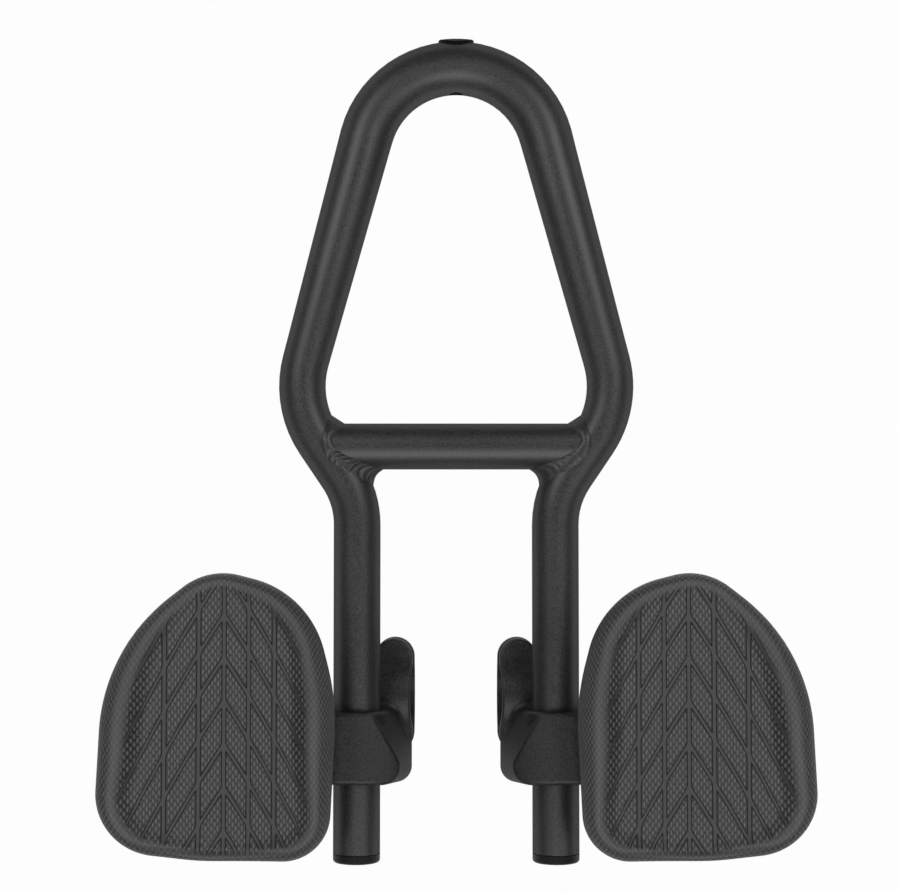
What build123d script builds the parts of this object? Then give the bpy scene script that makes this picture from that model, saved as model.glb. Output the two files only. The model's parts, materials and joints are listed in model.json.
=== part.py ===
import os
from math import atan2, cos, hypot, sin, sqrt, tan

from build123d import *

# Aero handlebar extension: one bent loop of tube with a welded cross brace, held by two clamps
# that also carry the arm pads. X is across the bicycle, Y points forward, Z is up.
# The origin lies on the axis of the handlebar, midway between the clamps. Millimetres.

# Extension loop
leg_spacing = 94.0
leg_height = 32.0
leg_diameter = 22.2
nose_diameter = 25.4
tube_wall = 2.0
leg_rear = -71.4
flare_corner = 95.8
flare_radius = 42.0
shoulder_half_width = 77.1
shoulder_corner = 140.3
shoulder_radius = 46.5
nose_reach = 301.4
nose_radius = 44.4

# Cross brace, a little thinner than the loop so that the seam runs clear, and its welds
brace_reach = 120.0
brace_diameter = 21.9
brace_wall = 1.8
weld_radius = 3.0
weld_sink = 1.8
weld_lap = 96.0

# Plugs and caps
nose_plug_diameter = 17.0
nose_plug_dome = 1.3
nose_plug_round = 0.65
nose_hole_diameter = 13.0
plug_lip = 0.8
plug_lip_length = 2.6
plug_lip_gap = 0.6
port_diameter = 6.6
cap_flange = 4.1
cap_edge_radius = 1.6
cap_seam = 0.35
cap_stem = 18.0
cap_stem_wall = 2.2
cap_rib = 0.5
cap_rib_width = 1.6
cap_rib_count = 3
plug_clearance = 0.1

# Handlebar clamp
bar_diameter = 31.8
saddle_outboard = 39.4
saddle_inboard = 21.0
saddle_reach = 27.8
saddle_wall = 6.0
saddle_round = 1.2
cap_inboard = 20.4
cap_wall = 5.5
lug_pitch = 41.0
lug_top = 12.0
lug_flat = 1.5
cap_lug_depth = 10.0
split_gap = 1.5
waist_depth = 1.3
waist_length = 30.0
waist_blend = 12.0
bar_relief = 0.5

# Collar round the leg, with its inboard block
collar_front = -4.5
collar_length = 33.6
collar_wall = 4.4
collar_clearance = 0.05
collar_lead = 0.8
platform_top = 47.8
brow_radius = 40.0
brow_round = 2.0
block_bottom = 8.0
block_foot_inboard = 21.4
block_front_round = 5.0
block_foot_blend = 3.0
block_foot_corner = -32.0
block_foot_rear = -41.4
block_top_front = 41.0
block_top_inboard = 27.6
block_top_corner = -27.5
block_corner_radius = 8.0

# Pinch jaw and arm under the pad
slit_gap = 2.0
jaw_outboard = 76.0
jaw_depth = 10.0
jaw_round = 4.0
pinch_offset = 68.0
pinch_pitch = 17.0
arm_end = 134.0
arm_end_radius = 12.0
arm_thickness = 6.0
arm_gusset = 96.0
arm_hole_first = 82.0
arm_hole_pitch = 14.0
arm_hole_count = 4
cup_bolt_holes = (1, 3)

# Fasteners
bolt_diameter = 5.0
bolt_head_diameter = 8.5
bolt_head_height = 5.0
bolt_socket = 4.0
bolt_socket_depth = 2.6
bolt_clearance = 0.1
bar_bolt_thread = 8.5
pinch_bolt_thread = 9.5
cup_head_diameter = 9.5
cup_head_height = 2.4
cup_bolt_thread = 5.0
cup_socket = 3.0
cup_socket_depth = 1.4

# Armrest cup, hook patch and pad
pad_width = 109.2
pad_length = 131.5
pad_inboard = 55.8
pad_rear = -71.5
trough_radius = 240.0
cup_wall = 3.0
cup_floor = 4.0
cup_inset = 4.0
cup_boss_margin = 12.0
cup_boss_length = 32.0
cup_boss_corner = 10.0
patch_thickness = 1.2
patch_width = 58.0
patch_length = 72.0
patch_corner = 14.0
pad_thickness = 10.0
pad_rim_height = 3.2
pad_rim_width = 9.0
pad_rim_cove = 2.8
pad_edge_round = 4.5
rib_width = 2.0
rib_height = 0.9
rib_offsets = (-23.1, -11.3, 0.0, 11.6, 27.2)
rib_centre = 50.6
chevron_pitch = 20.0
chevron_angle = 30.0
chevron_top = 44.0
chevron_count = 8

# Corners of a pad's outline: shares of its width, from the inboard edge, and of its length, from the
# rear, each with its radius as a share of the width
pad_corners = (
    (1.011, 0.045, 0.268),
    (0.581, 0.001, 1.097),
    (0.028, 0.000, 0.205),
    (-0.008, 0.558, 0.994),
    (0.108, 0.931, 0.416),
    (0.540, 1.022, 0.276),
    (0.971, 0.744, 0.754),
)

leg_x = leg_spacing / 2
leg_radius = leg_diameter / 2
nose_tube_radius = nose_diameter / 2
bar_radius = bar_diameter / 2
brace_radius = brace_diameter / 2
far = 400.0
cut_over = 1.0


# Loop: legs, flare bends, shoulder bends, tapered sides and the round nose
nose_centre = (0.0, nose_reach - nose_radius)


def tangent_point(side):
    # where the straight side touches the nose arc
    dx = side * shoulder_half_width - nose_centre[0]
    dy = shoulder_corner - nose_centre[1]
    reach = hypot(dx, dy)
    swing = side * atan2(sqrt(reach ** 2 - nose_radius ** 2), nose_radius)
    heading = atan2(dy, dx) + swing
    return (
        nose_centre[0] + nose_radius * cos(heading),
        nose_centre[1] + nose_radius * sin(heading),
    )


def taper_start(side):
    # end of the shoulder bend, on the straight side
    corner = (side * shoulder_half_width, shoulder_corner)
    touch = tangent_point(side)
    flare = atan2(corner[1] - flare_corner, corner[0] - side * leg_x)
    run = atan2(touch[1] - corner[1], touch[0] - corner[0])
    setback = shoulder_radius * tan(abs(run - flare) / 2)
    length = hypot(touch[0] - corner[0], touch[1] - corner[1])
    share = (setback + cut_over) / length
    return (
        corner[0] + (touch[0] - corner[0]) * share,
        corner[1] + (touch[1] - corner[1]) * share,
    )


def loop_core(inset, overrun):
    # the solid inside the tube's outer surface moved in by inset
    pieces = []
    for side in (-1, 1):
        start = taper_start(side)
        touch = tangent_point(side)
        leg = FilletPolyline(
            (side * leg_x, leg_rear - overrun),
            (side * leg_x, flare_corner),
            (side * shoulder_half_width, shoulder_corner),
            start,
            radius=[flare_radius, shoulder_radius],
        )
        section = Plane(origin=leg @ 0, z_dir=leg % 0) * Circle(leg_radius - inset)
        pieces.append(sweep(section, path=leg))
        run = Vector(touch[0] - start[0], touch[1] - start[1], 0)
        base = Plane(origin=(start[0], start[1], 0), z_dir=run)
        cone = Solid.make_cone(leg_radius - inset, nose_tube_radius - inset, run.length, plane=base)
        pieces.append(Part() + cone)
    left, right = tangent_point(-1), tangent_point(1)
    nose = ThreePointArc(left, (0, nose_reach), right)
    section = Plane(origin=nose @ 0, z_dir=nose % 0) * Circle(nose_tube_radius - inset)
    pieces.append(sweep(section, path=nose))
    core = pieces[0] + pieces[1:]
    return Pos(0, 0, leg_height) * core


loop_outer = loop_core(0, 0)
along_y = Plane(origin=(0, 0, leg_height), x_dir=(1, 0, 0), z_dir=(0, 1, 0))


def nose_cylinder(radius, start, end):
    # a cylinder on the nose's centreline, from Y start to Y end
    return Pos(0, start, 0) * extrude(along_y * Circle(radius), end - start)


inner_limb = nose_reach - nose_tube_radius
outer_limb = nose_reach + nose_tube_radius
loop = loop_outer - loop_core(tube_wall, cut_over)
loop -= nose_cylinder(nose_hole_diameter / 2, nose_reach, outer_limb + cut_over)
loop -= nose_cylinder(port_diameter / 2, inner_limb - cut_over, nose_reach)


# Rubber nose plug: a dome that follows the tube, a stem in the hole and a lip behind the wall
def nose_skin(offset):
    arc = ThreePointArc(tangent_point(-1), (0, nose_reach), tangent_point(1))
    section = Plane(origin=arc @ 0, z_dir=arc % 0) * Circle(nose_tube_radius + offset)
    return Pos(0, 0, leg_height) * sweep(section, path=arc)


dome_top = outer_limb + nose_plug_dome
dome = nose_skin(nose_plug_dome) & nose_cylinder(nose_plug_diameter / 2, nose_reach, dome_top + cut_over)
dome -= loop_outer
dome = fillet(dome.faces().sort_by(Axis.Y)[-1].edges(), nose_plug_round)
stem_radius = nose_hole_diameter / 2 - plug_clearance
stem_start = outer_limb - tube_wall - plug_lip_length
stem = nose_cylinder(stem_radius, stem_start, dome_top) & nose_skin(0)
lip = nose_cylinder(stem_radius + plug_lip, stem_start, outer_limb) & nose_skin(-tube_wall - plug_lip_gap)
nose_plug = dome + stem + lip


# Cross brace, coped to the loop
brace_axis = Plane(origin=(0, brace_reach, leg_height), x_dir=(0, 1, 0), z_dir=(1, 0, 0))


def loop_entry(reach):
    # X where a line across the bicycle at Y reach meets the left side of the loop, and its exit
    probe = Edge.make_line((0, reach, leg_height), (-far, reach, leg_height))
    inside = probe.intersect(loop_outer)
    ends = [v.X for edge in inside for v in edge.vertices()]
    return max(ends), min(ends)


entry, leaving = loop_entry(brace_reach)
brace_middle = (entry + leaving) / 2
brace_outer = extrude(brace_axis * Circle(brace_radius), -brace_middle, both=True)
brace_bore = extrude(brace_axis * Circle(brace_radius - brace_wall), -brace_middle, both=True)
brace = (brace_outer - brace_bore) - loop_outer
brace = Part() + brace.solids().sort_by(SortBy.VOLUME)[-1]


# Weld bead: two half ellipses from the crown of the joint, through its crotches, to the foot
def weld_arm(crotch):
    heading = Vector(crotch[0] - brace_middle, crotch[1] - brace_reach, 0)
    face = Plane(
        origin=(brace_middle, brace_reach, leg_height),
        x_dir=heading,
        z_dir=heading.cross(Vector(0, 0, 1)),
    )
    rise = brace_radius - weld_sink
    arc = EllipticalCenterArc((0, 0), heading.length, rise, start_angle=-weld_lap, arc_size=2 * weld_lap)
    path = face * arc
    section = Plane(origin=path @ 0, z_dir=path % 0) * Circle(weld_radius)
    return sweep(section, path=path)


front_crotch = (loop_entry(brace_reach + brace_radius)[0], brace_reach + brace_radius)
rear_crotch = (loop_entry(brace_reach - brace_radius)[0], brace_reach - brace_radius)
weld = weld_arm(front_crotch) + weld_arm(rear_crotch) - loop_outer - brace_outer
weld_left = Part() + weld.solids().sort_by(SortBy.VOLUME)[-1]


# End cap: a flange as wide as the tube and a ribbed stem
def end_cap():
    bore = leg_radius - tube_wall
    stem = bore - plug_clearance - cap_rib
    face = leg_rear - cap_seam
    axis = Plane(origin=(-leg_x, face, leg_height), x_dir=(1, 0, 0), z_dir=(0, 1, 0))
    flange = extrude(axis * Circle(leg_radius), -cap_flange)
    flange = fillet(flange.edges().sort_by(Axis.Y)[0], cap_edge_radius)
    body = flange + extrude(axis * Circle(stem), cap_stem)
    step = cap_stem / (cap_rib_count + 1)
    for index in range(cap_rib_count):
        ring = axis.offset(step * (index + 1) - cap_rib_width / 2)
        body += extrude(ring * Circle(stem + cap_rib), cap_rib_width)
    body += extrude(axis * Circle(stem + cap_rib), cap_seam)
    return body - extrude(axis * Circle(stem - cap_stem_wall), cap_stem)


end_cap_left = end_cap()

# Clamp shapes shared by the body and the lower cap
saddle_middle = -(saddle_outboard + saddle_inboard) / 2


def saddle_plan(inboard, waist):
    # a slot as long as the saddle; its inboard edge may be waisted
    radius = (saddle_outboard - inboard) / 2
    plan = Rot(0, 0, 90) * SlotOverall(saddle_reach * 2, radius * 2)
    if waist:
        bite_radius = ((waist_length / 2) ** 2 + waist ** 2) / (2 * waist)
        plan -= Pos(radius - waist + bite_radius, 0) * Circle(bite_radius)
        half = waist_length / 2 + split_gap
        plan = fillet(plan.vertices().filter_by_position(Axis.Y, -half, half), waist_blend)
    return Pos(-(saddle_outboard + inboard) / 2, 0) * plan


def saddle_half(arch, lug, plan):
    # one half of the bar clamp above the split: an arch that runs out into two lugs
    crown = bar_radius + arch
    blend = ((saddle_reach - lug_flat) ** 2 - crown ** 2 + lug ** 2) / (2 * (crown - lug))
    outline = Circle(crown) + Rectangle(saddle_reach * 2, lug * 2)
    hollow = sqrt(crown ** 2 - lug ** 2) + cut_over
    inner = outline.vertices().filter_by_position(Axis.X, -hollow, hollow)
    outline = fillet(inner, blend)
    upper = Pos(0, split_gap / 2 + far / 2) * Rectangle(far, far)
    section = (outline & upper) - Circle(bar_radius)
    side = Plane(origin=(-saddle_outboard, 0, 0), x_dir=(0, 1, 0), z_dir=(1, 0, 0))
    half = extrude(side * section, saddle_outboard)
    half = half & (Pos(0, 0, -far / 2) * extrude(plan, far))
    rim = half.edges().filter_by(Axis.X, reverse=True).filter_by(Axis.Z, reverse=True)
    middles = [(edge, edge @ 0.5) for edge in rim]
    rim = [edge for edge, p in middles if p.Z > lug / 2 and hypot(p.Y, p.Z) > bar_radius + arch / 2]
    return fillet(rim, saddle_round)


bar_line = Plane(origin=(0, 0, 0), x_dir=(0, 1, 0), z_dir=(1, 0, 0))
collar_rear = collar_front - collar_length
leg_line = Plane(origin=(-leg_x, collar_front, leg_height), x_dir=(1, 0, 0), z_dir=(0, -1, 0))
collar_bore = leg_radius + collar_clearance
collar_outer = leg_radius + collar_wall
lug_places = [(saddle_middle, side * lug_pitch / 2) for side in (-1, 1)]
pinch_middle = collar_front - collar_length / 2
pinch_places = [(-pinch_offset, pinch_middle + side * pinch_pitch / 2) for side in (-1, 1)]
arm_places = [(-arm_hole_first - index * arm_hole_pitch, pinch_middle) for index in range(arm_hole_count)]
slit_bottom = leg_height - slit_gap / 2
slit_top = leg_height + slit_gap / 2
jaw_bottom = slit_bottom - jaw_depth
cap_bottom = -split_gap / 2 - cap_lug_depth


def block():
    # from a foot on the rear lug up to the slanted inboard edge of the platform
    foot = Polyline(
        (-leg_x, collar_front),
        (-block_foot_inboard, collar_front),
        (-block_foot_inboard, block_foot_corner),
        (-block_foot_inboard, block_foot_rear),
        (-leg_x, block_foot_rear),
        close=True,
    )
    top = Polyline(
        (-leg_x, collar_front),
        (-block_top_front, collar_front),
        (-block_top_inboard, block_top_corner),
        (-block_top_inboard, collar_rear),
        (-leg_x, collar_rear),
        close=True,
    )
    faces = []
    for outline, inboard, rear, height in (
        (foot, block_foot_inboard, block_foot_rear, block_bottom),
        (top, block_top_inboard, collar_rear, platform_top + cut_over),
    ):
        face = make_face(outline)
        corner = face.vertices().sort_by_distance((-inboard, rear))[0]
        faces.append(Pos(0, 0, height) * fillet(corner, block_corner_radius))
    solid = loft(faces, ruled=True)
    front = solid.faces().filter_by(Axis.Y).sort_by(Axis.Y)[-1]
    solid = fillet(front.edges().sort_by(Axis.X)[-1], block_front_round)
    brow = Pos(-leg_x, platform_top - brow_radius) * Circle(brow_radius)
    solid &= across(brow, far, far * 2)
    dome = solid.faces().filter_by(GeomType.CYLINDER).sort_by(lambda face: abs(face.radius - brow_radius))[0]
    middles = [(edge, edge @ 0.5) for edge in dome.edges()]
    inboard = -block_top_front - block_front_round / 2
    rim = [edge for edge, p in middles if p.X > inboard and p.Y > collar_rear + cut_over]
    return fillet(rim, brow_round)


def across(outline, start, depth):
    # a front-view outline (X, Z) carried rearwards from Y start
    face = Plane(origin=(0, start, 0), x_dir=(1, 0, 0), z_dir=(0, -1, 0))
    return extrude(face * outline, depth)


def upright(radius, place, bottom, top):
    return Pos(place[0], place[1], bottom) * extrude(Circle(radius), top - bottom)


def arm():
    # root over the slit, gusset, and a plate that tapers to a round end
    outline = Polyline(
        (-leg_x, platform_top),
        (-arm_end, platform_top),
        (-arm_end, platform_top - arm_thickness),
        (-arm_gusset, platform_top - arm_thickness),
        (-jaw_outboard, slit_top),
        (-leg_x, slit_top),
        close=True,
    )
    solid = across(make_face(outline), collar_front, collar_length)
    tip = Pos(-arm_end + arm_end_radius, pinch_middle) * Circle(arm_end_radius)
    root = Pos(-jaw_outboard / 2 - leg_x / 2, pinch_middle) * Rectangle(jaw_outboard - leg_x, collar_length)
    plan = make_hull(tip.edges() + root.edges())
    solid &= extrude(plan, platform_top * 2)
    rim = solid.faces().sort_by(Axis.Z)[-1].edges().sort_by(Axis.X)[:-1]
    return fillet(rim, brow_round)


def jaw():
    middle = (-jaw_outboard / 2 - leg_x / 2, slit_bottom - jaw_depth / 2)
    outline = Pos(*middle) * Rectangle(jaw_outboard - leg_x, jaw_depth)
    corner = outline.vertices().sort_by_distance((-jaw_outboard, jaw_bottom))[0]
    return across(fillet(corner, jaw_round), collar_front, collar_length)


def clamp_body():
    body = block() + saddle_half(saddle_wall, lug_top, saddle_plan(saddle_inboard, waist_depth))
    crown = bar_radius + saddle_wall
    inner = -saddle_inboard - saddle_round * 2
    middles = [(edge, edge @ 0.5) for edge in body.edges().filter_by(Axis.X, reverse=True)]
    middles = [(edge, p) for edge, p in middles if p.X < inner and p.Y < collar_front + cut_over]
    foot = [edge for edge, p in middles if abs(hypot(p.Y, p.Z) - crown) < split_gap / 4]
    body = fillet(foot, block_foot_blend)
    collar = extrude(leg_line * Circle(collar_outer), collar_length)
    body += fillet(collar.edges().filter_by(GeomType.CIRCLE), brow_round)
    body += arm()
    body += jaw()
    body -= extrude(leg_line * Circle(collar_bore), far, both=True)
    for start, turn in ((collar_front, -1), (collar_rear, 1)):
        mouth = Plane(origin=(-leg_x, start, leg_height), z_dir=(0, turn, 0))
        body -= Part() + Solid.make_cone(collar_bore + collar_lead, collar_bore, collar_lead, plane=mouth)
    body -= extrude(bar_line * Circle(bar_radius), far, both=True)
    body -= extrude(bar_line.offset(-saddle_outboard) * Circle(bar_radius + bar_relief), -far)
    slit = Pos(-leg_x - far / 2, leg_height) * Rectangle(far, slit_gap)
    body -= across(slit, collar_front + cut_over, far)
    hole = bolt_diameter / 2 + bolt_clearance
    for place in lug_places:
        body -= upright(hole, place, 0, bar_bolt_thread + bolt_clearance)
    for place in pinch_places:
        body -= upright(hole, place, jaw_bottom, slit_top + pinch_bolt_thread + bolt_clearance)
        body -= upright(bolt_head_diameter / 2 + bolt_clearance, place, 0, jaw_bottom + bolt_head_height)
    for place in arm_places:
        body -= upright(hole, place, slit_top, platform_top)
    return Part() + body.solids().sort_by(SortBy.VOLUME)[-1]


def bar_cap():
    half = saddle_half(cap_wall, cap_lug_depth + split_gap / 2, saddle_plan(cap_inboard, 0))
    cap = mirror(half, about=Plane.XY)
    for place in lug_places:
        cap -= upright(bolt_diameter / 2 + bolt_clearance, place, cap_bottom, 0)
        head = bolt_head_diameter / 2 + bolt_clearance
        cap -= upright(head, place, cap_bottom - cut_over, cap_bottom + bolt_head_height)
    return cap


# Socket bolts, head down, from the seat under the head to the end of the thread
def socket_bolt(place, seat, end):
    head = upright(bolt_head_diameter / 2, place, seat - bolt_head_height, seat)
    head = chamfer(head.edges().group_by(Axis.Z)[0], bolt_clearance * 4)
    bolt = head + upright(bolt_diameter / 2, place, seat, end)
    bolt = chamfer(bolt.edges().group_by(Axis.Z)[-1], bolt_clearance * 4)
    key = RegularPolygon(bolt_socket / 2, 6, major_radius=False)
    return bolt - Pos(place[0], place[1], seat - bolt_head_height) * extrude(key, bolt_socket_depth)


def gather(solids):
    return Compound(children=[Part() + solid for solid in solids])


bar_seat = cap_bottom + bolt_head_height
pinch_seat = jaw_bottom + bolt_head_height
bar_cap_bolts = [socket_bolt(place, bar_seat, bar_bolt_thread) for place in lug_places]
pinch_bolts = [socket_bolt(place, pinch_seat, slit_top + pinch_bolt_thread) for place in pinch_places]

# Armrest: cup, hook patch and pad share one trough along Y
pad_middle = -pad_inboard - pad_width / 2
trough_axis = platform_top + cup_floor + trough_radius


def pad_plan(inset):
    points = [(-pad_inboard - u * pad_width, pad_rear + v * pad_length) for u, v, radius in pad_corners]
    radii = [radius * pad_width for u, v, radius in pad_corners]
    plan = make_face(FilletPolyline(*points, radius=radii, close=True))
    if inset:
        plan = offset(plan, -inset)
    return plan


def tall(plan):
    # a plan carried up through the whole armrest
    return extrude(plan, platform_top * 2)


def trough(lower, upper):
    # the wall between two depths above the cup's inner face
    ring = Circle(trough_radius - lower) - Circle(trough_radius - upper)
    below = Pos(0, -trough_radius) * Rectangle(pad_width * 1.5, trough_radius)
    return across(Pos(pad_middle, trough_axis) * (ring & below), far, far * 2)


def armrest_cup():
    cup = trough(-cup_wall, 0) & tall(pad_plan(cup_inset))
    row = arm_places[0][0] - arm_places[-1][0]
    foot = Pos((arm_places[0][0] + arm_places[-1][0]) / 2, pinch_middle, platform_top)
    plan = RectangleRounded(row + cup_boss_margin * 2, cup_boss_length, cup_boss_corner)
    boss = foot * extrude(plan, cup_floor)
    cup += boss - across(Pos(pad_middle, trough_axis) * Circle(trough_radius), far, far * 2)
    hole = bolt_diameter / 2 + bolt_clearance
    for index in cup_bolt_holes:
        cup -= upright(hole, arm_places[index], platform_top - cut_over, trough_axis)
        head = cup_head_diameter / 2 + bolt_clearance
        cup -= upright(head, arm_places[index], cup_seat, trough_axis)
    return cup


cup_seat = platform_top + cup_floor - cup_head_height - bolt_clearance


def cup_bolt(place):
    bolt = upright(cup_head_diameter / 2, place, cup_seat, cup_seat + cup_head_height)
    bolt += upright(bolt_diameter / 2, place, platform_top - cup_bolt_thread, cup_seat)
    key = RegularPolygon(cup_socket / 2, 6, major_radius=False)
    top = cup_seat + cup_head_height - cup_socket_depth
    return bolt - Pos(place[0], place[1], top) * extrude(key, cup_socket_depth)


def hook_patch():
    plan = RectangleRounded(patch_width, patch_length, patch_corner)
    return trough(0, patch_thickness) & tall(Pos(pad_middle, pad_rear + pad_length / 2) * plan)


def rib_plan():
    # five strips along the pad and chevrons that fall away from the middle one
    middle = -pad_inboard - rib_centre
    half_way = pad_rear + pad_length / 2
    strips = [Pos(middle - shift, half_way) * Rectangle(rib_width, pad_length) for shift in rib_offsets]
    for index in range(chevron_count):
        for side in (-1, 1):
            slope = Rot(0, 0, side * chevron_angle) * Pos(0, -pad_length / 2)
            start = Pos(middle, chevron_top - index * chevron_pitch)
            strips.append(start * slope * Rectangle(rib_width, pad_length))
    return strips[0] + strips[1:]


def trough_edges(solid, depth):
    # edges of the face that lies at one depth above the cup's inner face
    round_faces = solid.faces().filter_by(GeomType.CYLINDER)
    return round_faces.sort_by(lambda face: abs(face.radius - trough_radius + depth))[0].edges()


def arm_pad():
    field = patch_thickness + pad_thickness
    crest = field + pad_rim_height
    pad = trough(patch_thickness, crest) & tall(pad_plan(0))
    pad = fillet(trough_edges(pad, crest), pad_edge_round)
    recess = tall(pad_plan(pad_rim_width))
    hollow = trough(field, crest + pad_rim_cove) & recess
    pad -= fillet(trough_edges(hollow, field), pad_rim_cove)
    pad += (trough(field, field + rib_height) & recess) & tall(rib_plan())
    return pad


cup_left = armrest_cup()
cup_bolts = [cup_bolt(arm_places[index]) for index in cup_bolt_holes]

both_sides = {
    "clamp_body": clamp_body(),
    "bar_cap": bar_cap(),
    "bar_cap_bolts": gather(bar_cap_bolts),
    "pinch_bolts": gather(pinch_bolts),
    "armrest_cup": cup_left,
    "cup_bolts": gather(cup_bolts),
    "hook_patch": hook_patch(),
    "arm_pad": arm_pad(),
    "end_cap": end_cap_left,
    "brace_weld": weld_left,
}
nodes = {
    "extension_loop": loop,
    "cross_brace": brace,
    "nose_plug": nose_plug,
}
for name, shape in both_sides.items():
    nodes[name + "_left"] = shape
    nodes[name + "_right"] = mirror(shape, about=Plane.YZ)

os.makedirs("parts", exist_ok=True)
for name, shape in nodes.items():
    export_step(shape, f"parts/{name}.step")
    print(name, len(shape.solids()), round(shape.volume))
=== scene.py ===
import json
import math

import bmesh
import bpy
import numpy as np
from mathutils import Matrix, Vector
from mathutils.kdtree import KDTree


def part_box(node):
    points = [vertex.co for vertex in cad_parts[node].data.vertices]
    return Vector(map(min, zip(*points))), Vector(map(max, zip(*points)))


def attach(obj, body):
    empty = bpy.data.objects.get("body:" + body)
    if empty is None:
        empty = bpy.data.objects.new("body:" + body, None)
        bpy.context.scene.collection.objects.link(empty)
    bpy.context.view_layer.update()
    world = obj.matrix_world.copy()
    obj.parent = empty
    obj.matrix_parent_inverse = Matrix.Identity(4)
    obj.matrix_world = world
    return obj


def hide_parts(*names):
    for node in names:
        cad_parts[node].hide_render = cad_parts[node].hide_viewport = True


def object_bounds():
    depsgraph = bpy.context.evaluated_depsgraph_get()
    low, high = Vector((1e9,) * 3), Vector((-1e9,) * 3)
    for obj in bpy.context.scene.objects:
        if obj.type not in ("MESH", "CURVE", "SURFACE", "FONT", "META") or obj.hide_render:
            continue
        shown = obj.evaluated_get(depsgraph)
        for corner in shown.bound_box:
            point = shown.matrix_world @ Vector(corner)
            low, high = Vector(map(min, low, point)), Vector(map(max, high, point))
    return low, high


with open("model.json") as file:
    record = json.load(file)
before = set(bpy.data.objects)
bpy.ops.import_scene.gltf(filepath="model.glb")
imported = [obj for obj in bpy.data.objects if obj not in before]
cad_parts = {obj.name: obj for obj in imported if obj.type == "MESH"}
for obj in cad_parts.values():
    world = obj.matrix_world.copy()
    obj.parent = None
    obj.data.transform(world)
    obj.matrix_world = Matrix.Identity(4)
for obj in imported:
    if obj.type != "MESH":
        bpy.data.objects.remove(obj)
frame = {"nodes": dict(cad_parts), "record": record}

# Looks for the aero handlebar extension: satin black tube, rippled welds, moulded knit arm pads.
# Metres, X across, Y forward, Z up, origin on the handlebar axis.

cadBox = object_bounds()
mm = 0.001
sides = {"left": -1, "right": 1}
nodes = frame["nodes"]
print("frame loaded:", len(nodes), "nodes")


# mesh helpers

def addMesh(name, points, faces, body):
    # a closed smooth mesh with its faces turned outwards
    mesh = bpy.data.meshes.new(name)
    mesh.from_pydata(points.tolist(), [], faces)
    shell = bmesh.new()
    shell.from_mesh(mesh)
    bmesh.ops.recalc_face_normals(shell, faces=shell.faces)
    shell.to_mesh(mesh)
    shell.free()
    mesh.polygons.foreach_set("use_smooth", np.ones(len(mesh.polygons), bool))
    piece = bpy.data.objects.new(name, mesh)
    bpy.context.scene.collection.objects.link(piece)
    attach(piece, body)
    return piece


def gridFaces(rows, columns, wrap=False):
    # quads of a rows by columns grid of vertex numbers, joined round both ways where it wraps
    index = np.arange(rows * columns).reshape(rows, columns)
    if wrap:
        index = np.vstack([index, index[:1]])
        index = np.hstack([index, index[:, :1]])
    quads = np.stack([index[:-1, :-1], index[:-1, 1:], index[1:, 1:], index[1:, :-1]], -1)
    return quads.reshape(-1, 4)


def smoothStep(low, high, value):
    t = np.clip((value - low) / (high - low), 0, 1)
    return t * t * (3 - 2 * t)


def unit(vectors):
    return vectors / np.linalg.norm(vectors, axis=-1, keepdims=True)


# node helpers

def addNode(tree, kind, inputs=None, **settings):
    node = tree.nodes.new(kind)
    for key, value in settings.items():
        setattr(node, key, value)
    for key, value in (inputs or {}).items():
        if isinstance(value, bpy.types.NodeSocket):
            tree.links.new(value, node.inputs[key])
        else:
            node.inputs[key].default_value = value
    return node


def mathNode(tree, operation, first, second=0.0, third=0.0):
    inputs = {0: first, 1: second, 2: third}
    return addNode(tree, "ShaderNodeMath", inputs, operation=operation).outputs[0]


def fadeNode(tree, value, start, end):
    # one at start, easing to nothing at end
    inputs = {"Value": value, "From Min": start, "From Max": end, "To Min": 1.0, "To Max": 0.0}
    return addNode(tree, "ShaderNodeMapRange", inputs, interpolation_type="SMOOTHSTEP").outputs[0]


def newGroup(name, inputs, outputs):
    group = bpy.data.node_groups.new(name, "ShaderNodeTree")
    for label, kind, value in inputs:
        socket = group.interface.new_socket(label, in_out="INPUT", socket_type=kind)
        if value is not None:
            socket.default_value = value
    for label in outputs:
        group.interface.new_socket(label, in_out="OUTPUT", socket_type="NodeSocketFloat")
    entry = group.nodes.new("NodeGroupInput")
    leave = group.nodes.new("NodeGroupOutput")
    return group, entry, leave


def swingNode(tree, noise, span):
    # a noise texture about zero, times a span
    centred = mathNode(tree, "SUBTRACT", noise.outputs["Fac"], 0.5)
    return mathNode(tree, "MULTIPLY", centred, span)


# blasted grain, shared by all the hard pieces
grainForm = {
    "scale": 1500.0, "detail": 2.0, "roughness": 0.6, "speck": 1.5,
    "driftScale": 22.0, "driftDetail": 3.0, "drift": 0.25, "pitDepth": 0.00012,
}


def makeSandblast(form):
    # fine pits of blasted and anodised metal, with a slow drift of tone
    inputs = [("Vector", "NodeSocketVector", None), ("Scale", "NodeSocketFloat", form["scale"])]
    group, entry, leave = newGroup("sandblast", inputs, ["Tone", "Height"])
    where, scale = entry.outputs["Vector"], entry.outputs["Scale"]
    pits = {"Vector": where, "Scale": scale, "Detail": form["detail"], "Roughness": form["roughness"]}
    fine = addNode(group, "ShaderNodeTexNoise", pits)
    cloud = {"Vector": where, "Scale": form["driftScale"], "Detail": form["driftDetail"]}
    slow = addNode(group, "ShaderNodeTexNoise", cloud)
    speck = swingNode(group, fine, form["speck"])
    drift = swingNode(group, slow, form["drift"])
    tone = mathNode(group, "ADD", mathNode(group, "ADD", speck, drift), 1.0)
    group.links.new(tone, leave.inputs["Tone"])
    group.links.new(fine.outputs["Fac"], leave.inputs["Height"])
    return group


# knit cloth of the pads
knitForm = {
    "pitch": 0.0014, "wobbleScale": 420.0, "wobble": 1.6, "tall": 0.76,
    "stitch": 0.4, "ridge": 0.3, "base": 0.35, "yarnScale": 2600.0, "yarn": 0.6,
}


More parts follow.
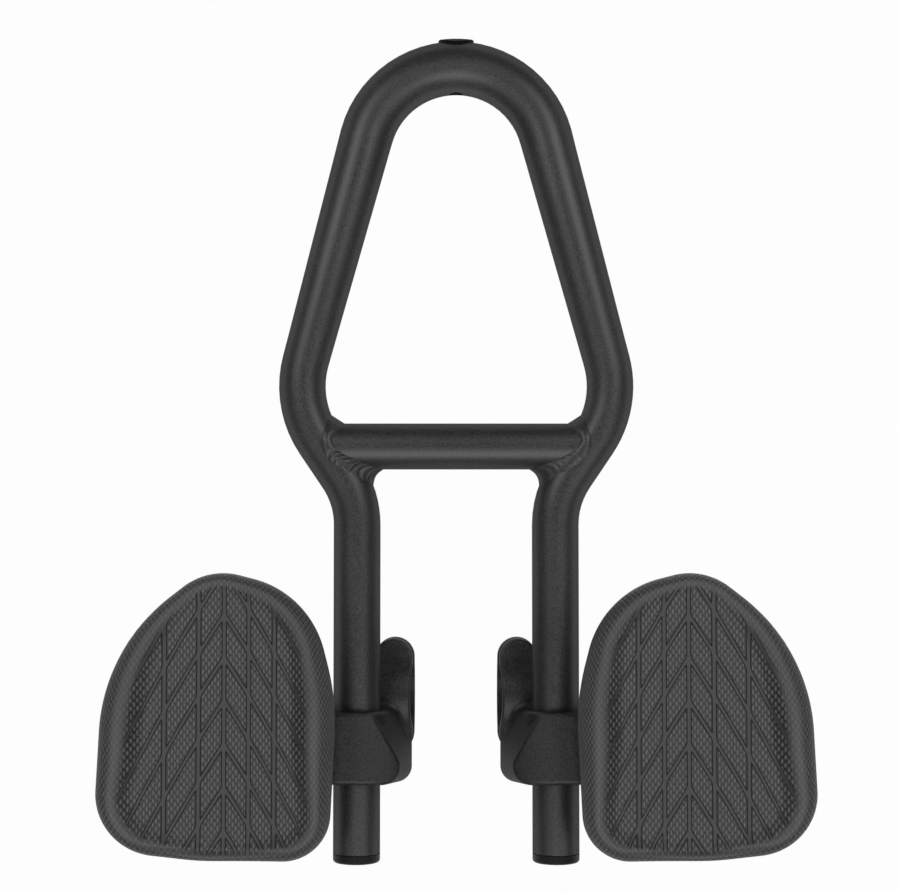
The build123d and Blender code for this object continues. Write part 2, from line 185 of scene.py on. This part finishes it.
def makeKnit(form):
    # staggered stitches a little longer than wide: two crossed sine waves, loosened by noise
    inputs = [("Vector", "NodeSocketVector", None), ("Pitch", "NodeSocketFloat", form["pitch"])]
    group, entry, leave = newGroup("knit", inputs, ["Height", "Tone"])
    where, pitch = entry.outputs["Vector"], entry.outputs["Pitch"]
    loose = {"Vector": where, "Scale": form["wobbleScale"], "Detail": 1.0}
    offset = swingNode(group, addNode(group, "ShaderNodeTexNoise", loose), form["wobble"])
    split = addNode(group, "ShaderNodeSeparateXYZ", {0: where})
    turns = mathNode(group, "DIVIDE", math.pi, pitch)
    across = mathNode(group, "MULTIPLY", split.outputs["X"], turns)
    down = mathNode(group, "MULTIPLY", split.outputs["Y"], form["tall"])
    along = mathNode(group, "MULTIPLY", down, turns)
    wale = mathNode(group, "SINE", mathNode(group, "ADD", across, offset))
    course = mathNode(group, "SINE", mathNode(group, "ADD", along, offset))
    stitch = mathNode(group, "MULTIPLY", mathNode(group, "MULTIPLY", wale, course), form["stitch"])
    ridge = mathNode(group, "MULTIPLY", mathNode(group, "MULTIPLY", wale, wale), form["ridge"])
    height = mathNode(group, "ADD", stitch, mathNode(group, "ADD", ridge, form["base"]))
    fibres = {"Vector": where, "Scale": form["yarnScale"], "Detail": 2.0}
    yarn = addNode(group, "ShaderNodeTexNoise", fibres).outputs["Fac"]
    # the tone adds the stitch height to the yarn noise: painted shade in the stitch hollows, over the
    # yarn's own flecks
    tone = mathNode(group, "ADD", mathNode(group, "MULTIPLY", yarn, form["yarn"]), height)
    group.links.new(height, leave.inputs["Height"])
    group.links.new(tone, leave.inputs["Tone"])
    return group


sandblast = makeSandblast(grainForm)
knit = makeKnit(knitForm)


def newMaterial(name):
    material = bpy.data.materials.new(name)
    material.use_nodes = True
    tree = material.node_tree
    shader = tree.nodes["Principled BSDF"]
    where = addNode(tree, "ShaderNodeTexCoord").outputs["Object"]
    return material, tree, shader, where


def paleBy(tree, grey, tone):
    # a neutral colour times a tone that changes over the surface
    inputs = {0: (grey, grey, grey), 3: tone}
    return addNode(tree, "ShaderNodeVectorMath", inputs, operation="SCALE").outputs[0]


def grainedFinish(look):
    # a hard grained finish, for metal, plastic, rubber and tape: pits in colour, roughness and bump
    material, tree, shader, where = newMaterial(look["name"])
    grain = addNode(tree, "ShaderNodeGroup", node_tree=sandblast)
    tree.links.new(where, grain.inputs["Vector"])
    grain.inputs["Scale"].default_value = look["grainScale"]
    tone = grain.outputs["Tone"]
    tree.links.new(paleBy(tree, look["grey"], tone), shader.inputs["Base Color"])
    uneven = mathNode(tree, "MULTIPLY", mathNode(tree, "SUBTRACT", tone, 1.0), look["roughSpread"])
    tree.links.new(mathNode(tree, "ADD", uneven, look["rough"]), shader.inputs["Roughness"])
    pits = {"Strength": look["bump"], "Distance": grainForm["pitDepth"], "Height": grain.outputs["Height"]}
    tree.links.new(addNode(tree, "ShaderNodeBump", pits).outputs["Normal"], shader.inputs["Normal"])
    shader.inputs["Metallic"].default_value = look["metallic"]
    shader.inputs["Specular IOR Level"].default_value = look["gloss"]
    shader.inputs["Specular Tint"].default_value = (look["rimTint"],) * 3 + (1,)
    return material


tubeLook = {
    "name": "blastedTube", "grey": 0.09, "grainScale": 1500.0, "rough": 0.46, "roughSpread": 0.25,
    "bump": 0.3, "metallic": 0.85, "gloss": 0.3, "rimTint": 0.35,
}
forgingLook = {
    "name": "blastedForging", "grey": 0.062, "grainScale": 1200.0, "rough": 0.48, "roughSpread": 0.3,
    "bump": 0.75, "metallic": 0.85, "gloss": 0.3, "rimTint": 0.35,
}
boltLook = {
    "name": "oxideBolt", "grey": 0.05, "grainScale": 2400.0, "rough": 0.36, "roughSpread": 0.15,
    "bump": 0.12, "metallic": 0.8, "gloss": 0.4, "rimTint": 0.6,
}
plasticLook = {
    "name": "grainedPlastic", "grey": 0.02, "grainScale": 1100.0, "rough": 0.5, "roughSpread": 0.2,
    "bump": 0.25, "metallic": 0.0, "gloss": 0.3, "rimTint": 0.4,
}
rubberLook = {
    "name": "mouldedRubber", "grey": 0.006, "grainScale": 700.0, "rough": 0.6, "roughSpread": 0.15,
    "bump": 0.08, "metallic": 0.0, "gloss": 0.15, "rimTint": 0.35,
}
hookLook = {
    "name": "hookTape", "grey": 0.02, "grainScale": 1800.0, "rough": 0.95, "roughSpread": 0.05,
    "bump": 1.0, "metallic": 0.0, "gloss": 0.4, "rimTint": 0.6,
}
slotFinish = {
    "black_tube": grainedFinish(tubeLook),
    "black_forging": grainedFinish(forgingLook),
    "black_steel": grainedFinish(boltLook),
    "black_plastic": grainedFinish(plasticLook),
    "black_rubber": grainedFinish(rubberLook),
    "hook_tape": grainedFinish(hookLook),
}

# pressed pattern of the pads, in mm from the middle strip, mirrored left and right
bands = {
    "middle": 106.4, "strips": (-23.1, -11.3, 0.0, 11.6, 27.2), "stripHalf": 1.0,
    "top": 41.5, "pitch": 19.7, "drop": 1.45, "bow": 0.0063, "chevronHalf": 0.95, "corner": 1.2,
    "creaseInner": 0.1, "creaseOuter": 0.34, "edgeSoft": 0.2, "far": 1000.0,
}
padLook = {
    "name": "mouldedKnit", "grey": 0.097, "fleckAndStitchShade": 1.9, "fleckAndStitchShadeMiddle": 0.8, "creaseShade": 0.85,
    "knitPitch": 0.00139, "edgeKnit": 0.7, "rimKnit": 0.35, "bandTone": 0.2, "knitRise": 0.6,
    "bandRise": 0.2, "creaseDepth": 0.3, "rough": 0.65, "sheen": 0.1,
}


def makeBands(size):
    # smooth strips along the pad and chevrons that fall outward, with a crease on each edge
    group, entry, leave = newGroup("bands", [("Vector", "NodeSocketVector", None)], ["Band", "Crease"])
    split = addNode(group, "ShaderNodeSeparateXYZ", {0: entry.outputs["Vector"]})
    outward = mathNode(group, "DIVIDE", mathNode(group, "ABSOLUTE", split.outputs["X"]), mm)
    across = mathNode(group, "SUBTRACT", outward, size["middle"])
    along = mathNode(group, "DIVIDE", split.outputs["Y"], mm)
    strip = size["far"]
    for place in size["strips"]:
        reach = mathNode(group, "ABSOLUTE", mathNode(group, "SUBTRACT", across, place))
        strip = mathNode(group, "MINIMUM", reach, strip)
    strip = mathNode(group, "SUBTRACT", strip, size["stripHalf"])
    away = mathNode(group, "ABSOLUTE", across)
    steep = mathNode(group, "ADD", mathNode(group, "MULTIPLY", away, size["bow"]), size["drop"])
    below = mathNode(group, "SUBTRACT", along, size["top"])
    fall = mathNode(group, "ADD", below, mathNode(group, "MULTIPLY", away, steep))
    upright = mathNode(group, "PINGPONG", fall, size["pitch"] / 2)
    square = math.sin(math.atan(1 / size["drop"]))
    chevron = mathNode(group, "SUBTRACT", mathNode(group, "MULTIPLY", upright, square), size["chevronHalf"])
    gap = mathNode(group, "SMOOTH_MIN", strip, chevron, size["corner"])
    band = fadeNode(group, gap, -size["edgeSoft"], size["edgeSoft"])
    crease = fadeNode(group, mathNode(group, "ABSOLUTE", gap), size["creaseInner"], size["creaseOuter"])
    group.links.new(band, leave.inputs["Band"])
    group.links.new(crease, leave.inputs["Crease"])
    return group


bandPattern = makeBands(bands)


def mouldedKnit(look):
    # knit in the panels and fainter on the rim, smooth pressed bands with creases in the field, the creases
    # darkened as painted shade
    material, tree, shader, where = newMaterial(look["name"])
    stitch = addNode(tree, "ShaderNodeGroup", node_tree=knit)
    cloth = addNode(tree, "ShaderNodeAttribute", attribute_name="cloth").outputs["Vector"]
    tree.links.new(cloth, stitch.inputs["Vector"])
    stitch.inputs["Pitch"].default_value = look["knitPitch"]
    pressed = addNode(tree, "ShaderNodeGroup", node_tree=bandPattern)
    tree.links.new(where, pressed.inputs["Vector"])
    field = addNode(tree, "ShaderNodeAttribute", attribute_name="field").outputs["Fac"]
    edge = addNode(tree, "ShaderNodeAttribute", attribute_name="edge").outputs["Fac"]
    # painted shade and painted highlight of the rim, read from the pad's point attribute
    paintedShading = addNode(tree, "ShaderNodeAttribute", attribute_name="paintedShading").outputs["Fac"]
    band = mathNode(tree, "MULTIPLY", pressed.outputs["Band"], field)
    crease = mathNode(tree, "MULTIPLY", pressed.outputs["Crease"], field)
    panel = mathNode(tree, "SUBTRACT", field, band)
    mask = mathNode(tree, "MAXIMUM", panel, mathNode(tree, "MULTIPLY", edge, look["edgeKnit"]))
    rim = mathNode(tree, "MULTIPLY", mathNode(tree, "SUBTRACT", 1.0, field), look["rimKnit"])
    mask = mathNode(tree, "MAXIMUM", mask, rim)
    # the yarn's own flecks plus painted shade of the stitch hollows
    fleckAndStitchShade = mathNode(tree, "SUBTRACT", stitch.outputs["Tone"], look["fleckAndStitchShadeMiddle"])
    fleckAndStitchShade = mathNode(tree, "MULTIPLY", fleckAndStitchShade, look["fleckAndStitchShade"])
    tone = mathNode(tree, "ADD", mathNode(tree, "MULTIPLY", fleckAndStitchShade, mask), paintedShading)
    # painted shade: the creases darkened in the colour
    lines = mathNode(tree, "MULTIPLY", crease, look["creaseShade"])
    lines = mathNode(tree, "ADD", lines, mathNode(tree, "MULTIPLY", band, look["bandTone"]))
    shade = mathNode(tree, "SUBTRACT", 1.0, lines)
    colour = paleBy(tree, look["grey"], mathNode(tree, "MULTIPLY", tone, shade))
    tree.links.new(colour, shader.inputs["Base Color"])
    stitched = mathNode(tree, "MULTIPLY", stitch.outputs["Height"], mask)
    stitched = mathNode(tree, "MULTIPLY", stitched, look["knitRise"])
    raised = mathNode(tree, "ADD", stitched, mathNode(tree, "MULTIPLY", band, look["bandRise"]))
    height = mathNode(tree, "SUBTRACT", raised, mathNode(tree, "MULTIPLY", crease, look["creaseDepth"]))
    bump = addNode(tree, "ShaderNodeBump", {"Strength": 1.0, "Distance": mm, "Height": height})
    tree.links.new(bump.outputs["Normal"], shader.inputs["Normal"])
    shader.inputs["Roughness"].default_value = look["rough"]
    shader.inputs["Sheen Weight"].default_value = look["sheen"]
    return material


padFinish = mouldedKnit(padLook)

for row in frame["record"]["subparts"]:
    finish = slotFinish.get(row["material_slot"], padFinish)
    solid = nodes[row["node"]].data
    solid.materials.clear()
    solid.materials.append(finish)


# weld beads

tubeRoute = {
    "legX": 47.0, "flareY": 95.8, "flareRadius": 42.0, "shoulderX": 77.1, "shoulderY": 140.3,
    "shoulderRadius": 46.5, "noseX": 46.0, "noseY": 258.0,
}
bead = {
    "tubeRadius": 11.1, "braceRadius": 10.95, "braceY": 120.0, "height": 32.0, "steps": 900, "across": 24,
    "clear": 20.0, "halvings": 40, "round": 1500, "reach": 2.8, "rearWide": 2.6, "rearSpan": (-0.25, 0.25),
    "frontGain": 2.4, "rearGain": 4.1, "frontHollow": 0.05, "rearHollow": 0.5, "proud": 1.4, "sink": 0.3,
    "root": 1.5, "ripple": 0.5, "rippleSpan": (-0.15, 0.2), "level": 0.6, "blunt": 0.35,
    "pitch": 3.0, "lag": 0.65, "wander": 0.12, "wanders": 11,
}
beadRipple = {"left": 1.0, "right": 0.3}


def cornerArc(before, corner, after, radius, count=80):
    # points of the arc that rounds one corner of a route
    a, b = unit(before - corner), unit(after - corner)
    half = np.arccos(a @ b) / 2
    middle = corner + unit(a + b) * radius / np.sin(half)
    start = corner + a * radius / np.tan(half) - middle
    end = corner + b * radius / np.tan(half) - middle
    first = np.arctan2(start[1], start[0])
    turn = (np.arctan2(end[1], end[0]) - first + np.pi) % (2 * np.pi) - np.pi
    angles = first + turn * np.linspace(0, 1, count)
    return middle + radius * np.stack([np.cos(angles), np.sin(angles)], -1)


def tubeLine(route):
    # centreline of the right half of the loop in plan
    rear = np.array([route["legX"], 0.0])
    flare = np.array([route["legX"], route["flareY"]])
    shoulder = np.array([route["shoulderX"], route["shoulderY"]])
    front = np.array([route["noseX"], route["noseY"]])
    return np.vstack([
        rear,
        cornerArc(rear, flare, shoulder, route["flareRadius"]),
        cornerArc(flare, shoulder, front, route["shoulderRadius"]),
        front,
    ])


def nearestOn(line, points):
    # the closest point of the centreline to each point, in plan
    start, run = line[:-1], np.diff(line, axis=0)
    share = ((points[:, None] - start) * run).sum(2) / (run ** 2).sum(1)
    foot = start + np.clip(share, 0, 1)[..., None] * run
    best = np.linalg.norm(points[:, None] - foot, axis=2).argmin(1)
    return foot[np.arange(len(points)), best]


def loopAxis(points, size, line):
    # the closest points of the centreline in space, at the height of the loop
    foot = nearestOn(line, points[:, :2])
    return np.column_stack([foot, np.full(len(foot), size["height"])])


def weldSeam(angle, size, line):
    # round the brace by angle: X where its surface meets the tube's, found by halving
    y = size["braceY"] + size["braceRadius"] * np.cos(angle)
    lift = size["braceRadius"] * np.sin(angle)
    need = np.sqrt(size["tubeRadius"] ** 2 - lift ** 2)
    near, beyond = np.full_like(y, size["clear"]), np.interp(y, line[:, 1], line[:, 0])
    for _ in range(size["halvings"]):
        middle = (near + beyond) / 2
        spot = np.stack([middle, y], -1)
        outside = np.linalg.norm(spot - nearestOn(line, spot), axis=1) > need
        near = np.where(outside, middle, near)
        beyond = np.where(outside, beyond, middle)
    return np.stack([near, y, size["height"] + lift], -1)


def makeWeld(name, side, size):
    # a strip from the loop to the brace along their seam: hollow in the crotches, proud on the crown,
    # with crescent ripples on the arm that runs to the rear crotch
    line = tubeLine(tubeRoute)
    angle = np.linspace(0, 2 * np.pi, size["steps"], endpoint=False)
    seam = weldSeam(angle, size, line)
    for _ in range(size["round"]):
        seam = (np.roll(seam, 1, 0) + 2 * seam + np.roll(seam, -1, 0)) / 4
    along = unit(np.roll(seam, -1, 0) - np.roll(seam, 1, 0))
    braceOut = np.stack([np.zeros_like(angle), np.cos(angle), np.sin(angle)], -1)
    loopOut = unit(seam - loopAxis(seam, size, line))
    upTube = np.cross(loopOut, along)
    upTube *= np.sign(upTube[0] @ braceOut[0])
    upBrace = np.cross(braceOut, along)
    upBrace *= np.sign(upBrace[0] @ loopOut[0])

    crotch = np.abs(np.cos(angle)) ** 2
    isFront = np.cos(angle) > 0
    gain = np.where(isFront, size["frontGain"], size["rearGain"]) * crotch
    hollow = np.where(isFront, size["frontHollow"], size["rearHollow"]) * crotch
    onRear = smoothStep(*size["rearSpan"], -np.cos(angle))
    reach = (size["reach"] + size["rearWide"] * onRear + gain)[:, None]
    onLoop = seam + reach * upTube
    axis = loopAxis(onLoop, size, line)
    onLoop = axis + (size["tubeRadius"] - size["sink"]) * unit(onLoop - axis)
    onBrace = seam + reach * upBrace
    onBrace[:, 1:] = seam[:, 1:] - size["sink"] * braceOut[:, 1:]
    out = unit(braceOut + loopOut)

    v = np.linspace(0, 1, size["across"])[None, :, None]
    dome = 4 * v * (1 - v)
    pull = (onLoop + onBrace) / 2
    pull = pull + hollow[:, None] * (seam - pull)
    strip = (1 - v) ** 2 * onLoop[:, None] + 2 * v * (1 - v) * pull[:, None] + v ** 2 * onBrace[:, None]
    length = np.cumsum(np.linalg.norm(np.roll(seam, -1, 0) - seam, axis=1))
    turn = length / length[-1]
    dimes = round(length[-1] / size["pitch"])
    phase = turn * dimes + size["wander"] * np.sin(2 * np.pi * size["wanders"] * turn)
    ridge = np.abs(np.sin(np.pi * (phase[:, None, None] + size["lag"] * dome))) - size["level"]
    rippled = smoothStep(*size["rippleSpan"], -np.cos(angle)) * beadRipple[name] * size["ripple"]
    rise = size["proud"] * (1 - crotch)[:, None, None] * dome
    rise = rise + rippled[:, None, None] * ridge * dome ** size["blunt"]
    strip = strip + rise * out[:, None]
    root = (seam - size["root"] * out)[:, None]
    ring = np.concatenate([strip, root], 1)
    ring[..., 0] *= side
    faces = gridFaces(size["steps"], size["across"] + 1, wrap=True).tolist()
    piece = addMesh("weld_bead_" + name, ring.reshape(-1, 3) * mm, faces, "extension")
    piece.data.materials.append(slotFinish["black_tube"])
    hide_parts("brace_weld_" + name)


for name, side in sides.items():
    makeWeld(name, side, bead)
print("welds made")


# arm pads

padForm = {
    "corners": (
        (1.011, 0.045, 0.268), (0.581, 0.001, 1.097), (0.028, 0.000, 0.205), (-0.008, 0.558, 0.994),
        (0.108, 0.931, 0.416), (0.540, 1.022, 0.276), (0.971, 0.744, 0.754),
    ),
    "middle": (0.49, 0.47), "outlinePoints": 1800, "cells": 260, "underRings": 12,
    "trough": 238.8, "thick": 9.5, "lowEdge": 2.0, "riseSide": 4.8, "riseEnd": 1.8,
    "rimSide": 9.5, "rimFront": 4.0, "rimRear": 2.4, "slopeSide": 11.5, "slopeEnd": 6.0,
    "sideways": 1.4, "frontSpan": (-0.4, 0.4), "rimRound": 2.2, "rearSpan": (0.72, 0.9), "underEase": 0.8,
    # the edge and slope tones are painted shade, the crest tone a painted highlight
    "edgeShade": 0.62, "crestHighlight": 1.22, "frontFade": 0.75, "slopeShade": 0.55, "fadeSpan": (-0.3, 0.5),
    "fieldSpan": (0.2, 0.4), "edgeSpan": (0.55, 0.9), "crestSpan": (0.7, 0.95), "crestEnd": (0.0, 0.25),
    "slopeSpan": (0.15, 0.4), "slopeFinish": (0.7, 1.1),
    "grooveAt": 4.4, "grooveWide": 1.0, "grooveDeep": 0.7, "lipAt": 6.6, "lipWide": 1.2, "lipHigh": 0.5,
}


def padOutline(form, width, length):
    # evenly spaced points in mm from the inboard rear corner, outboard positive
    corners = np.array(form["corners"])
    points = corners[:, :2] * (width, length)
    arcs = []
    for k in range(len(points)):
        after = points[(k + 1) % len(points)]
        arcs.append(cornerArc(points[k - 1], points[k], after, corners[k, 2] * width))
    ring = np.vstack(arcs + [arcs[0][:1]])
    reach = np.concatenate([[0], np.cumsum(np.linalg.norm(np.diff(ring, axis=0), axis=1))])
    even = np.linspace(0, reach[-1], form["outlinePoints"], endpoint=False)
    return np.stack([np.interp(even, reach, ring[:, k]) for k in (0, 1)], -1)


def edgeDistance(outline, x, y):
    tree = KDTree(len(outline))
    for k, (px, py) in enumerate(outline):
        tree.insert((px, py, 0), k)
    tree.balance()
    gaps = [tree.find((px, py, 0))[2] for px, py in zip(x.ravel(), y.ravel())]
    return np.array(gaps).reshape(x.shape)


def makePad(name, side, form):
    solidName = "arm_pad_" + name
    low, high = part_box(solidName)
    width, length = (high.x - low.x) / mm, (high.y - low.y) / mm
    middle = np.array(form["middle"]) * (width, length)
    outline = padOutline(form, width, length)
    away = outline - middle
    tableAngle, tableReach = np.arctan2(away[:, 1], away[:, 0]), np.linalg.norm(away, axis=1)

    # square grid drawn out to a disc, then out to the outline
    share = np.linspace(-1, 1, form["cells"] + 1)
    a, b = np.meshgrid(share, share)
    discX, discY = a * np.sqrt(1 - b * b / 2), b * np.sqrt(1 - a * a / 2)
    angle, rho = np.arctan2(discY, discX), np.minimum(np.hypot(discX, discY), 1)
    reach = np.interp(angle, tableAngle, tableReach, period=2 * np.pi)
    x, y = middle[0] + rho * reach * np.cos(angle), middle[1] + rho * reach * np.sin(angle)
    border = rho > 1 - 1e-6
    edge = np.where(border, 0, edgeDistance(outline, x, y))

    # rim: a rounded climb to the crest, then an easy slope down to the field
    sideways = np.abs(np.cos(angle)) ** form["sideways"]
    isFront = smoothStep(*form["frontSpan"], np.sin(angle))
    rimEnd = form["rimRear"] + (form["rimFront"] - form["rimRear"]) * isFront
    rim = rimEnd + (form["rimSide"] - rimEnd) * sideways
    slope = form["slopeEnd"] + (form["slopeSide"] - form["slopeEnd"]) * sideways
    rise = form["riseEnd"] + (form["riseSide"] - form["riseEnd"]) * sideways
    crest = form["thick"] + rise
    climb = np.sqrt(np.clip(1 - (1 - np.clip(edge / rim, 0, 1)) ** form["rimRound"], 0, 1))
    body = form["lowEdge"] + (crest - form["lowEdge"]) * climb
    down = (edge - rim) / slope
    body = body - rise * smoothStep(0, 1, down)
    atRear = smoothStep(*form["rearSpan"], -np.sin(angle))
    groove = atRear * np.exp(-((edge - form["grooveAt"]) / form["grooveWide"]) ** 2)
    lip = atRear * np.exp(-((edge - form["lipAt"]) / form["lipWide"]) ** 2)
    body = body - form["grooveDeep"] * groove + form["lipHigh"] * lip
    floor = form["trough"] - np.sqrt(form["trough"] ** 2 - (x - width / 2) ** 2)
    z = low.z / mm + floor + body

    # masks for the cloth: the field, the outer edge, and painted shading: painted shade on the outer wall,
    # the inner slopes and the rear groove, a painted highlight on the crest and the rear lip
    fieldMask = smoothStep(*form["fieldSpan"], down)
    edgeMask = 1 - smoothStep(*form["edgeSpan"], edge / rim)
    # painted highlight: the crest's light fades towards the front
    crestLightFade = 1 - form["frontFade"] * smoothStep(*form["fadeSpan"], np.sin(angle))
    crestMask = smoothStep(*form["crestSpan"], edge / rim) * crestLightFade
    crestMask = crestMask * (1 - smoothStep(*form["crestEnd"], down))
    slopeMask = smoothStep(*form["slopeSpan"], down) * sideways
    slopeMask = slopeMask * (1 - smoothStep(*form["slopeFinish"], down))
    # painted shade on the outer wall, slopes and rear groove, painted highlight on the crest and lip
    paintedShading = 1 + (form["edgeShade"] - 1) * edgeMask + (form["crestHighlight"] - 1) * np.maximum(crestMask, lip)
    paintedShading = paintedShading + (form["slopeShade"] - 1) * np.maximum(slopeMask, groove)

    # underside: rings from the edge to the middle
    number = np.arange((form["cells"] + 1) ** 2).reshape(a.shape)
    loop = np.concatenate([number[0, :-1], number[:-1, -1], number[-1, :0:-1], number[:0:-1, 0]])
    inward = np.linspace(1, 0, form["underRings"] + 1)[1:-1, None] ** form["underEase"]
    underX = middle[0] + inward * (x.ravel()[loop] - middle[0])
    underY = middle[1] + inward * (y.ravel()[loop] - middle[1])
    underZ = low.z / mm + form["trough"] - np.sqrt(form["trough"] ** 2 - (underX - width / 2) ** 2)
    top = np.stack([x, y, z], -1).reshape(-1, 3)
    under = np.stack([underX, underY, underZ], -1).reshape(-1, 3)
    points = np.vstack([top, under])
    rings = np.vstack([loop, len(top) + np.arange(len(under)).reshape(-1, len(loop))])
    rings = np.hstack([rings, rings[:, :1]])
    skirt = np.stack([rings[:-1, :-1], rings[1:, :-1], rings[1:, 1:], rings[:-1, 1:]], -1)
    square = gridFaces(form["cells"] + 1, form["cells"] + 1)
    faces = np.vstack([square, skirt.reshape(-1, 4)]).tolist()
    faces.append(rings[-1, :-1].tolist())

    points[:, 0] = (high.x if side < 0 else low.x) / mm + side * points[:, 0]
    points[:, 1] += low.y / mm
    piece = addMesh("pad_cover_" + name, points * mm, faces, "clamps")
    # the last attribute carries the painted shade and highlight of the rim
    for label, values in (("field", fieldMask), ("edge", edgeMask), ("paintedShading", paintedShading)):
        data = np.zeros(len(points), np.float32)
        data[: values.size] = values.ravel()
        piece.data.attributes.new(label, "FLOAT", "POINT").data.foreach_set("value", data)
    # where each point lies on the flat cloth: the outer wall is folded out
    cloth = points * mm
    fall = np.where(edge < rim, crest - body, 0).ravel() * mm
    cloth[: fall.size, 0] += side * fall * np.cos(angle).ravel()
    cloth[: fall.size, 1] += fall * np.sin(angle).ravel()
    flat = piece.data.attributes.new("cloth", "FLOAT_VECTOR", "POINT")
    flat.data.foreach_set("vector", cloth.ravel())
    piece.data.materials.append(padFinish)
    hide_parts(solidName)


for name, side in sides.items():
    makePad(name, side, padForm)
print("pads made")


# stage, light and camera

studio = {
    "floorBelow": 0.12, "reach": 7.0, "wall": 0.6, "sides": 96, "floorGrey": 0.9, "floorRough": 0.9,
    "world": 0.05, "shadowShare": 0.03, "aim": (0, 0.1, 0),
}
lamps = {
    "topBox": {"place": (0.0, -0.86, 1.27), "size": (0.7, 0.9), "power": 7.2},
    "leftBox": {"place": (-0.9, -0.45, 1.2), "size": (0.6, 0.8), "power": 1.4},
    "rightBox": {"place": (0.9, -0.45, 1.2), "size": (0.6, 0.8), "power": 2.6},
    "frontLeft": {"place": (-0.36, 0.42, 0.6), "size": (0.28, 0.3), "power": 1.15},
    "frontRight": {"place": (0.36, 0.42, 0.6), "size": (0.28, 0.3), "power": 1.15},
}


def makeStage(look):
    # a round pale floor with a low backdrop right round it
    turn = np.linspace(0, 2 * np.pi, look["sides"], endpoint=False)
    height = cadBox[0].z - look["floorBelow"]
    circle = np.stack([np.cos(turn), np.sin(turn), np.zeros_like(turn)], -1)
    ring = circle * look["reach"] + (0, 0, height)
    wall = gridFaces(2, look["sides"], wrap=True)[: look["sides"]].tolist()
    mesh = bpy.data.meshes.new("floor")
    points = np.vstack([ring, ring + (0, 0, look["wall"])]).tolist()
    mesh.from_pydata(points, [], [list(range(look["sides"]))] + wall)
    floor = bpy.data.objects.new("floor", mesh)
    bpy.context.scene.collection.objects.link(floor)
    material, tree, shader, _ = newMaterial("paleFloor")
    grey = look["floorGrey"]
    shader.inputs["Base Color"].default_value = (grey, grey, grey, 1)
    shader.inputs["Roughness"].default_value = look["floorRough"]
    glow = addNode(tree, "ShaderNodeEmission", {"Color": (1, 1, 1, 1), "Strength": 1.0})
    path = addNode(tree, "ShaderNodeLightPath")
    seen = path.outputs["Is Camera Ray"]
    for ray in ("Is Glossy Ray", "Is Transmission Ray"):
        seen = mathNode(tree, "MAXIMUM", seen, path.outputs[ray])
    seen = mathNode(tree, "MULTIPLY", seen, 1 - look["shadowShare"])
    mix = addNode(tree, "ShaderNodeMixShader", {0: seen, 1: shader.outputs[0], 2: glow.outputs[0]})
    tree.links.new(mix.outputs[0], tree.nodes["Material Output"].inputs["Surface"])
    mesh.materials.append(material)


def makeWorld(look):
    world = bpy.data.worlds.new("studio")
    bpy.context.scene.world = world
    world.use_nodes = True
    tree = world.node_tree
    back = tree.nodes["Background"]
    back.inputs["Color"].default_value = (1, 1, 1, 1)
    back.inputs["Strength"].default_value = look["world"]


def addLamp(name, look, aim):
    light = bpy.data.lights.new(name, "AREA")
    light.shape = "RECTANGLE"
    light.size, light.size_y = look["size"]
    light.energy = look["power"]
    lamp = bpy.data.objects.new(name, light)
    lamp.location = look["place"]
    ahead = Vector(aim) - Vector(look["place"])
    lamp.rotation_euler = ahead.to_track_quat("-Z", "Y").to_euler()
    bpy.context.scene.collection.objects.link(lamp)


view = {
    "focalPixels": 2000.0, "imageWidth": 901, "sensor": 36.0, "pitch": 2.5,
    "place": (-0.00271, 0.07877, 0.98185),
}


def makeCamera(look):
    # above the part, leaning forward by the pitch
    data = bpy.data.cameras.new("camera")
    data.sensor_width = look["sensor"]
    data.lens = look["focalPixels"] / look["imageWidth"] * data.sensor_width
    camera = bpy.data.objects.new("camera", data)
    camera.location = look["place"]
    camera.rotation_euler = (math.radians(look["pitch"]), 0, 0)
    bpy.context.scene.collection.objects.link(camera)
    bpy.context.scene.camera = camera


makeStage(studio)
makeWorld(studio)
for name, look in lamps.items():
    addLamp(name, look, studio["aim"])
makeCamera(view)
bpy.context.scene.view_settings.view_transform = "Standard"
print("stage set")
